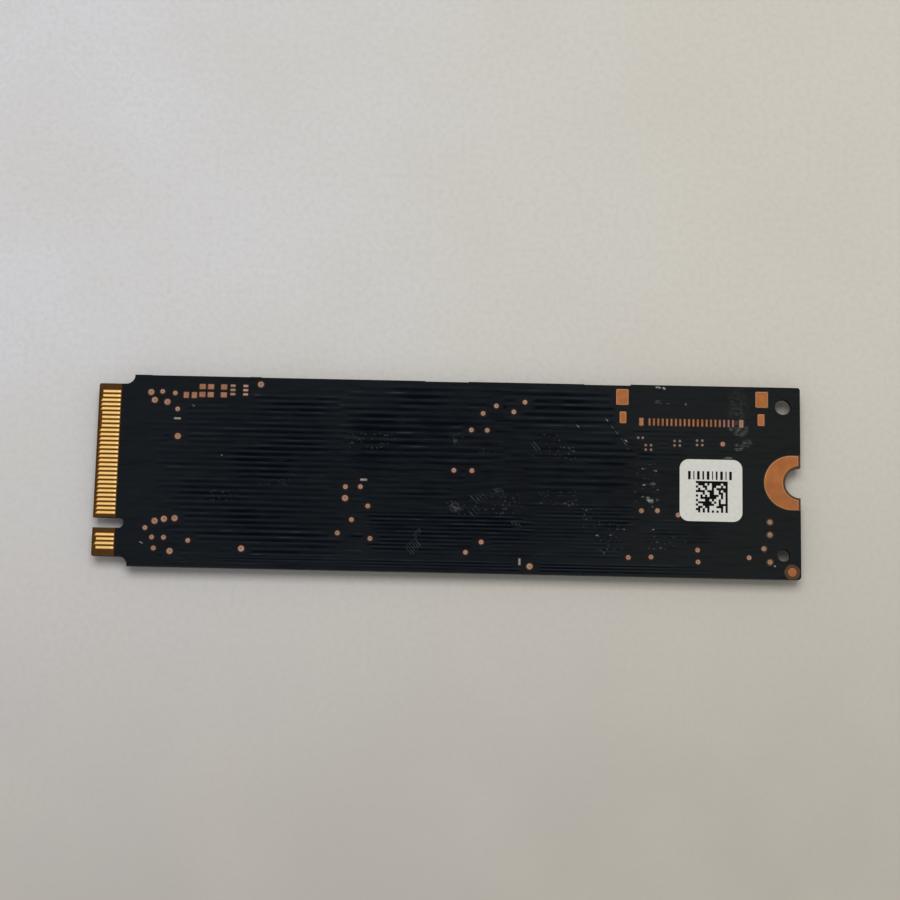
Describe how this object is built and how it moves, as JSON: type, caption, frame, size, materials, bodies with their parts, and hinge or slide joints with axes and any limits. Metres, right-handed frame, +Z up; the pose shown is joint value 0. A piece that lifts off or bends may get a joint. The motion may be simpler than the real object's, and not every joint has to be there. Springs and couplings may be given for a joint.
{
  "type": "solid-state drive card",
  "caption": "Narrow plug-in circuit card with gilt edge contacts, an off-centre key notch and a half-round screw notch, carrying memory packages on its front face.",
  "frame": {"origin": "middle of the card's length and width, on the plane that the flash packages rest on", "axes": "+X along the card from the contact edge to the screw end, +Y across it away from the key notch, +Z up out of the bare rear face"},
  "size_m": [0.08, 0.022, 0.0021],
  "materials": {
    "laminate": "bare resin and glass fibre, satin",
    "solder_mask": "black lacquer, satin, fine lines showing through",
    "gold": "gilt, polished",
    "copper": "bare copper, dulled",
    "label_paper": "white coated paper",
    "moulding": "black moulding compound",
    "tin": "tinned",
    "capacitor_ceramic": "brown ceramic",
    "resistor_ceramic": "black glaze on ceramic",
    "inductor_composite": "pressed grey composite",
    "crystal_ceramic": "dark ceramic",
    "crystal_metal": "plated lid"
  },
  "bodies": {
    "root": {"board_laminate": "laminate", "rear_solder_mask": "solder_mask", "front_solder_mask": "solder_mask", "rear_main_contacts": "gold", "rear_key_contacts": "gold", "front_main_contacts": "gold", "front_key_contacts": "gold", "rear_screw_land": "copper", "front_screw_land": "copper", "corner_fiducial": "copper", "rear_test_pads": "copper", "spare_part_lands": "copper", "small_part_lands": "copper", "spare_socket_lands": "copper", "rear_label": "label_paper", "controller": "moulding", "working_memory": "moulding", "flash_memory_inner": "moulding", "flash_memory_outer": "moulding", "power_manager": "moulding", "power_manager_leads": "tin", "load_switch": "moulding", "load_switch_leads": "tin", "boot_memory": "moulding", "boot_memory_leads": "tin", "inductor_terminals": "tin", "bulk_capacitor_bodies": "capacitor_ceramic", "bulk_capacitor_ends": "tin", "coupling_capacitor_bodies": "capacitor_ceramic", "coupling_capacitor_ends": "tin", "bypass_capacitor_bodies": "capacitor_ceramic", "bypass_capacitor_ends": "tin", "resistor_bodies": "resistor_ceramic", "resistor_ends": "tin", "input_fuse_body": "resistor_ceramic", "input_fuse_ends": "tin", "crystal_base": "crystal_ceramic", "crystal_lid": "crystal_metal", "power_inductor_1": "inductor_composite", "power_inductor_2": "inductor_composite", "power_inductor_3": "inductor_composite"}
  },
  "joints": []
}
